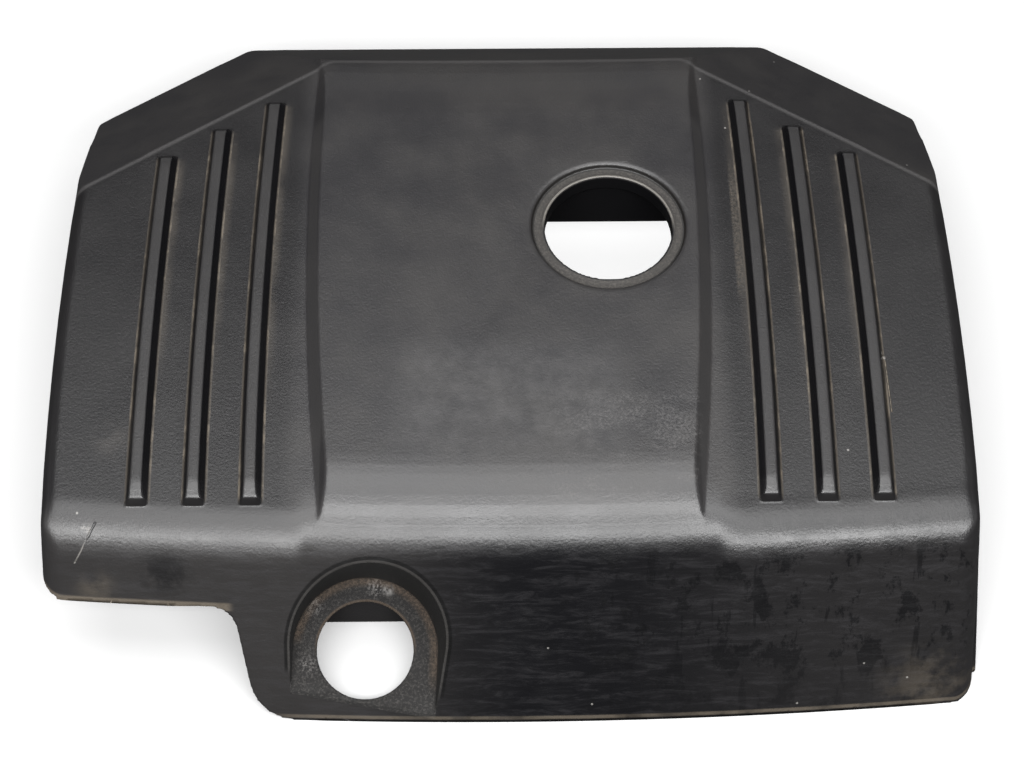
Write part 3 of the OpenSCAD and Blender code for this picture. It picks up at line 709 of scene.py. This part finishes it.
class COVER_OT_shell(bpy.types.Operator):
    """Makes the moulded shell with soft edges from the CAD shell"""

    bl_idname = "cover.shell"
    bl_label = "Moulded shell"

    def execute(self, context):
        shape = context.scene.cover_shape
        shell = bpy.data.objects.new("moulded_shell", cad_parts["cover_shell"].data.copy())
        context.collection.objects.link(shell)
        clean(shell, bpy.ops.mesh.remove_doubles, 0.000001)
        apply(shell, "REMESH", mode="VOXEL", voxel_size=shape.voxel, use_smooth_shade=True)
        apply(shell, "SHRINKWRAP", target=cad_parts["cover_shell"], wrap_method="NEAREST_SURFACEPOINT")
        apply(shell, "SMOOTH", factor=0.5, iterations=shape.soft_passes)
        self.round_edges(shell, shape.blend_passes)
        self.bow_strips(shell)
        self.true_rim(shell)
        share = shape.triangles / (2 * len(shell.data.polygons))
        apply(shell, "DECIMATE", ratio=share)
        keep_only(shell, moulded_plastic(context.scene.cover_finish))
        only(shell)
        bpy.ops.object.shade_smooth()
        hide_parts("cover_shell")
        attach(shell, "root")
        return {"FINISHED"}

    @staticmethod
    def weigh(shell, name, weights):
        """Makes a vertex group from an array of weights, in levels."""
        group = shell.vertex_groups.new(name=name)
        level = np.rint(np.clip(weights, 0, 1) * WEIGHT_LEVELS).astype(int)
        for number in range(1, WEIGHT_LEVELS + 1):
            group.add(np.flatnonzero(level == number).tolist(), number / WEIGHT_LEVELS, "REPLACE")

    @staticmethod
    def places(shell):
        """The vertices' X, Y and Z as arrays."""
        flat = np.empty(3 * len(shell.data.vertices))
        shell.data.vertices.foreach_get("co", flat)
        return flat.reshape(-1, 3).T

    def round_edges(self, shell, passes):
        """Rounds the panel's steps, the creases, the front folds and the rear corners."""
        x, y, z = self.places(shell)
        side = np.abs(x)

        def close(gap, reach):
            """One up to half of reach from a line, falling to nothing at reach."""
            return np.clip(2 - 2 * np.abs(gap) / reach, 0, 1)

        panel_edge = PANEL_HALF_W - (y - PANEL_BOW_Y) ** 2 / (2 * PANEL_BOW_R)
        step = close(side - panel_edge, 0.010) * (z > 0.070) * (y > -0.175) * STEP_SHARE
        corner_line = side * math.sin(CORNER_ANGLE) + y * math.cos(CORNER_ANGLE) - CORNER_CREASE
        bands = np.maximum(y - BAND_CREASE_Y, corner_line)
        crease = close(bands, 0.009) * (z > 0.060)
        fold = close(side - 0.232, 0.026) * close(y + 0.142, 0.040) * (z > 0.055)
        self.weigh(shell, "round", np.max((step, crease, fold), axis=0))
        apply(shell, "SMOOTH", factor=0.5, iterations=passes, vertex_group="round")
        corners = [close(np.hypot(side - corner_x, y - corner_y), 0.020) for corner_x, corner_y in REAR_CORNERS]
        corner = np.max(corners, axis=0) * (z > 0.002)
        self.weigh(shell, "corners", np.maximum(corner, fold))
        apply(shell, "SMOOTH", factor=0.5, iterations=2 * passes, vertex_group="corners")

    def true_rim(self, shell):
        """Puts the lower edges of the front skirt back on their true lines."""
        x, y, z = self.places(shell)
        front = FRONT_Y + x * x / (2 * FRONT_BOW_R)
        for level, west, east in SKIRT_RIMS:
            line = front + level * math.tan(SKIRT_LEAN)
            near = (np.abs(z - level) < RIM_REACH) & (np.abs(y - line) < RIM_REACH)
            share = near * np.clip(np.minimum(x - west, east - x) / RIM_FADE, 0, 1)
            y = y + share * (line - y)
            z = z + share * (level - z)
        shell.data.vertices.foreach_set("co", np.stack((x, y, z), axis=1).ravel())
        shell.data.update()
        clean(shell, bpy.ops.mesh.dissolve_degenerate, 0.00002)

    def bow_strips(self, shell):
        """Bows the strips outwards a little between their ends."""
        x, y, z = self.places(shell)
        side = np.abs(x)
        bow = 1 - (y - STRIP_BOW_Y) ** 2 / (2 * STRIP_BOW_R * STRIP_BOW)
        zone = np.clip(
            np.minimum(side - 0.110, 0.192 - side) / 0.005, 0, 1) * np.clip((z - 0.0835) / 0.002, 0, 1,
        )
        for name, half, way in (("bow_left", x < 0, -1), ("bow_right", x > 0, 1)):
            self.weigh(shell, name, bow * zone * half)
            apply(shell, "DISPLACE", direction="X", mid_level=0.0, strength=way * STRIP_BOW, vertex_group=name)


class COVER_OT_grommets(bpy.types.Operator):
    """Gives the four grommets their rubber"""

    bl_idname = "cover.grommets"
    bl_label = "Rubber grommets"

    def execute(self, context):
        rubber = moulded_rubber(context.scene.cover_finish)
        for name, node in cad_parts.items():
            if name.startswith("grommet"):
                keep_only(node, rubber)
        return {"FINISHED"}


class COVER_OT_stage(bpy.types.Operator):
    """Adds the table, the lights and the camera"""

    bl_idname = "cover.stage"
    bl_label = "Table, lights and camera"

    def execute(self, context):
        look = context.scene.cover_stage
        bpy.ops.object.select_all(action="DESELECT")
        bpy.ops.mesh.primitive_plane_add(size=8.0, location=(0, 0, -0.0002))
        table = context.object
        table.name = "table"
        table.data.transform(table.matrix_world)
        table.matrix_world = Matrix.Identity(4)
        keep_only(table, self.white_table())
        for name, place, wide, deep, power in SOFTBOXES:
            self.lamp(name, place, wide, deep, getattr(look, power))
        self.room(context.scene, look.world)
        self.camera(context.scene, look.lens)
        context.scene.view_settings.view_transform = "Standard"
        return {"FINISHED"}

    @staticmethod
    def lamp(name, place, wide, deep, power):
        """A softbox that faces the middle of the cover."""
        bpy.ops.object.light_add(type="AREA", location=place)
        lamp = bpy.context.object
        lamp.name = name
        lamp.data.shape = "RECTANGLE"
        lamp.data.size = wide
        lamp.data.size_y = deep
        lamp.data.energy = power
        aim = Vector((0, 0, 0.05)) - Vector(place)
        lamp.rotation_euler = aim.to_track_quat("-Z", "Y").to_euler()

    @staticmethod
    def white_table():
        """White paper, with a painted pool of light under the filler opening so that it stays white seen
        through it.
        """
        t = Tree("white_table")
        t.tree.nodes.remove(t.shader)
        ray = t.tree.nodes.new("ShaderNodeLightPath").outputs["Is Camera Ray"]
        paper = t.tree.nodes.new("ShaderNodeBsdfDiffuse")
        # Dark to other rays, so that it throws no light up under the skirt.
        t.put(paper.inputs["Color"], t.step(ray, 0.0, 1.0, 0.03, 0.38))
        glow = t.tree.nodes.new("ShaderNodeEmission")
        glow.inputs["Color"].default_value = (1, 1, 1, 1)
        # Painted light: the paper glows brighter under the filler opening, a pool of light seen through it.
        below = t.times(t.near(t.x, FILLER[0], 0.050, 0.020), t.near(t.y, FILLER[1] + 0.050, 0.045, 0.020))
        t.put(glow.inputs["Strength"], t.times(ray, t.step(below, 0.0, 1.0, 0.2, 0.78)))
        both = t.tree.nodes.new("ShaderNodeAddShader")
        t.tree.links.new(paper.outputs[0], both.inputs[0])
        t.tree.links.new(glow.outputs[0], both.inputs[1])
        t.tree.links.new(both.outputs[0], t.tree.nodes["Material Output"].inputs["Surface"])
        return t.material

    @staticmethod
    def room(scene, level):
        """Lights the scene at a plain level and shows white to the camera."""
        world = bpy.data.worlds.new("room")
        world.use_nodes = True
        tree = world.node_tree
        ray = tree.nodes.new("ShaderNodeLightPath")
        wall = tree.nodes["Background"]
        wall.inputs["Color"].default_value = (1, 1, 1, 1)
        strength = tree.nodes.new("ShaderNodeMapRange")
        tree.links.new(ray.outputs["Is Camera Ray"], strength.inputs["Value"])
        strength.inputs["To Min"].default_value = level
        strength.inputs["To Max"].default_value = 1.0
        tree.links.new(strength.outputs[0], wall.inputs["Strength"])
        scene.world = world

    @staticmethod
    def camera(scene, lens):
        """The camera that took the photograph, fitted to the cover's outline."""
        rise, turn, roll = (math.radians(angle) for angle in CAMERA_ANGLES)
        look = Vector((math.sin(turn) * math.cos(rise), math.cos(turn) * math.cos(rise), -math.sin(rise)))
        right = Vector((math.cos(turn), -math.sin(turn), 0))
        up = right.cross(look)
        right, up = math.cos(roll) * right + math.sin(roll) * up, math.cos(roll) * up - math.sin(roll) * right
        place = Matrix((right, up, -look)).transposed().to_4x4()
        place.translation = CAMERA_PLACE
        bpy.ops.object.camera_add()
        camera = bpy.context.object
        camera.matrix_world = place
        camera.data.lens = lens
        camera.data.sensor_width = 36.0
        camera.data.clip_start = 0.01
        scene.camera = camera


class COVER_PT_panel(bpy.types.Panel):
    """Lists the cover's pieces and settings"""

    bl_idname = "COVER_PT_panel"
    bl_label = "Engine cover"
    bl_space_type = "VIEW_3D"
    bl_region_type = "UI"
    bl_category = "Cover"

    def draw(self, context):
        for operator in OPERATORS:
            self.layout.operator(operator.bl_idname)
        for group in ("cover_shape", "cover_finish", "cover_stage"):
            settings = getattr(context.scene, group)
            box = self.layout.box()
            for name in type(settings).__annotations__:
                box.prop(settings, name)


OPERATORS = (COVER_OT_shell, COVER_OT_grommets, COVER_OT_stage)
GROUPS = {"cover_shape": CoverShape, "cover_finish": CoverFinish, "cover_stage": CoverStage}


def register():
    for item in (*GROUPS.values(), *OPERATORS, COVER_PT_panel):
        bpy.utils.register_class(item)
    for name, group in GROUPS.items():
        setattr(bpy.types.Scene, name, bpy.props.PointerProperty(type=group))


def unregister():
    for name in GROUPS:
        delattr(bpy.types.Scene, name)
    for item in reversed((*GROUPS.values(), *OPERATORS, COVER_PT_panel)):
        bpy.utils.unregister_class(item)


def main():
    register()
    bpy.ops.cover.shell()
    bpy.ops.cover.grommets()
    bpy.ops.cover.stage()


if __name__ == "__main__":
    main()
